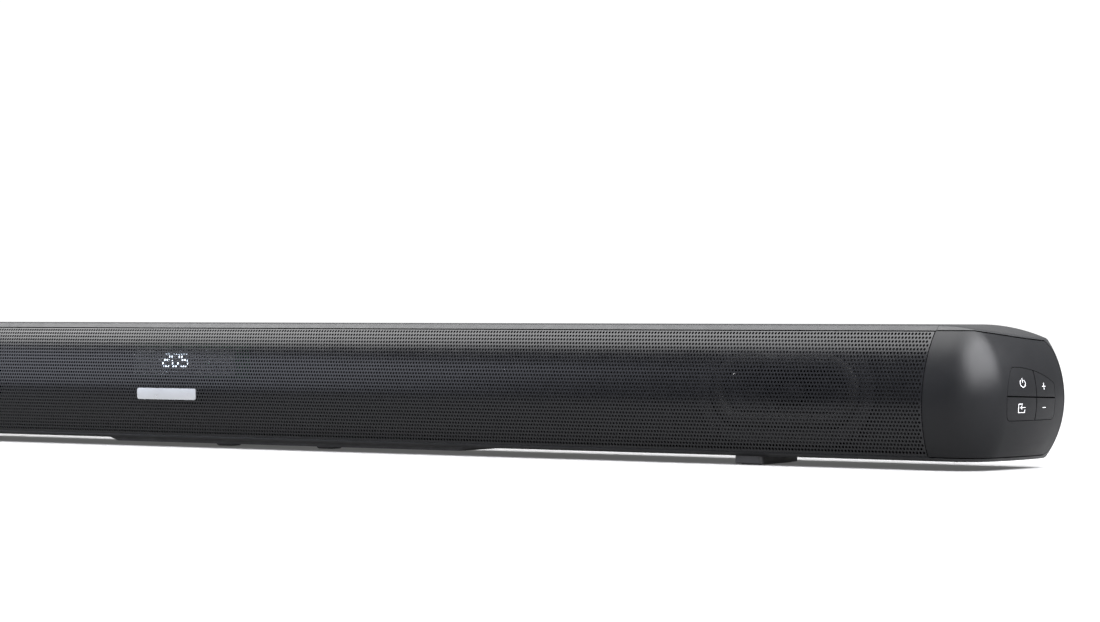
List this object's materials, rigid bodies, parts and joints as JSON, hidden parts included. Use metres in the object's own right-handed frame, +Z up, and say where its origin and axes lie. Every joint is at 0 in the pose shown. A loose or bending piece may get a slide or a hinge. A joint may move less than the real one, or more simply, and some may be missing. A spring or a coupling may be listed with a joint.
{
  "type": "soundbar",
  "caption": "Slim bar loudspeaker with a bowed perforated front, smooth rounded ends, a display behind the grille and push buttons in one end.",
  "frame": {"origin": "centre of the bounding box at the level of the foot pads", "axes": "+X along the bar to the viewer's right, -Y out of the front, +Z up"},
  "size_m": [0.95, 0.0646, 0.0647],
  "materials": {
    "grille_paint": "semi-matt black powder paint on perforated steel",
    "badge_metal": "satin, blank",
    "cap_plastic": "satin moulded black",
    "cabinet_plastic": "fine textured black",
    "button_plastic": "satin moulded black, printed white signs",
    "inner_plastic": "matt black moulding",
    "base_plastic": "matt black moulding",
    "pad_rubber": "matt",
    "board_green": "solder mask over glass fibre",
    "display_black": "black with lit bars",
    "smoked_lens": "smoked clear",
    "receiver_resin": "dark infrared resin",
    "driver_steel": "black pressed steel",
    "cone_paper": "pulp, fibrous",
    "roll_rubber": "satin",
    "dust_cap_cloth": "pressed pulp",
    "magnet_ferrite": "ferrite with zinc plates",
    "gasket_foam": "closed-cell foam",
    "winding_core": "taped winding in a ferrite core",
    "capacitor_sleeve": "shrink sleeve",
    "heatsink_aluminium": "extruded",
    "socket_steel": "tinned",
    "socket_black": "moulded",
    "plate_zinc": "zinc plated",
    "screw_black": "black zinc",
    "screw_zinc": "bright zinc",
    "wire_sheath": "soft sheath"
  },
  "bodies": {
    "bar": {"aux_socket": "socket_black", "board_screws": "screw_zinc", "bottom_cover": "base_plastic", "button_board": "board_green", "button_cable": "wire_sheath", "button_carrier": "inner_plastic", "button_switches": "socket_black", "cabinet_screws": "screw_black", "capacitors": "capacitor_sleeve", "chamber_wall_left": "inner_plastic", "chamber_wall_right": "inner_plastic", "cover_screws": "screw_black", "display_board": "board_green", "display_module": "display_black", "display_window": "smoked_lens", "driver_cone_left": "cone_paper", "driver_cone_right": "cone_paper", "driver_dust_cap_left": "dust_cap_cloth", "driver_dust_cap_right": "dust_cap_cloth", "driver_frame_left": "driver_steel", "driver_frame_right": "driver_steel", "driver_gasket_left": "gasket_foam", "driver_gasket_right": "gasket_foam", "driver_magnet_left": "magnet_ferrite", "driver_magnet_right": "magnet_ferrite", "driver_screws": "screw_black", "driver_surround_left": "roll_rubber", "driver_surround_right": "roll_rubber", "end_cap_left": "cap_plastic", "end_cap_right": "cap_plastic", "end_housing_left": "cabinet_plastic", "end_housing_right": "cabinet_plastic", "foot_left": "base_plastic", "foot_pad_left": "pad_rubber", "foot_pad_right": "pad_rubber", "foot_right": "base_plastic", "front_baffle": "inner_plastic", "front_grille": "grille_paint", "grille_badge": "badge_metal", "hdmi_socket": "socket_steel", "heatsink": "heatsink_aluminium", "infrared_receiver": "receiver_resin", "keyhole_plate_left": "plate_zinc", "keyhole_plate_right": "plate_zinc", "main_board": "board_green", "optical_socket": "socket_black", "plate_screws": "screw_zinc", "power_board": "board_green", "power_inlet": "inner_plastic", "radio_module": "socket_steel", "rear_cabinet": "cabinet_plastic", "socket_panel": "inner_plastic", "speaker_wire_left": "wire_sheath", "speaker_wire_right": "wire_sheath", "transformer": "winding_core", "usb_socket": "socket_steel"},
    "power_button_body": {"power_button": "button_plastic"},
    "source_button_body": {"source_button": "button_plastic"},
    "volume_up_button_body": {"volume_up_button": "button_plastic"},
    "volume_down_button_body": {"volume_down_button": "button_plastic"}
  },
  "joints": [
    {"name": "power_press", "type": "slide", "parent": "bar", "child": "power_button_body", "axis": [-1, 0, 0], "range_m": [0, 0.0006], "stiffness_N_per_m": 1000, "springref_m": -0.001},
    {"name": "source_press", "type": "slide", "parent": "bar", "child": "source_button_body", "axis": [-1, 0, 0], "range_m": [0, 0.0006], "stiffness_N_per_m": 1000, "springref_m": -0.001},
    {"name": "volume_up_press", "type": "slide", "parent": "bar", "child": "volume_up_button_body", "axis": [-1, 0, 0], "range_m": [0, 0.0006], "stiffness_N_per_m": 1000, "springref_m": -0.001},
    {"name": "volume_down_press", "type": "slide", "parent": "bar", "child": "volume_down_button_body", "axis": [-1, 0, 0], "range_m": [0, 0.0006], "stiffness_N_per_m": 1000, "springref_m": -0.001}
  ]
}
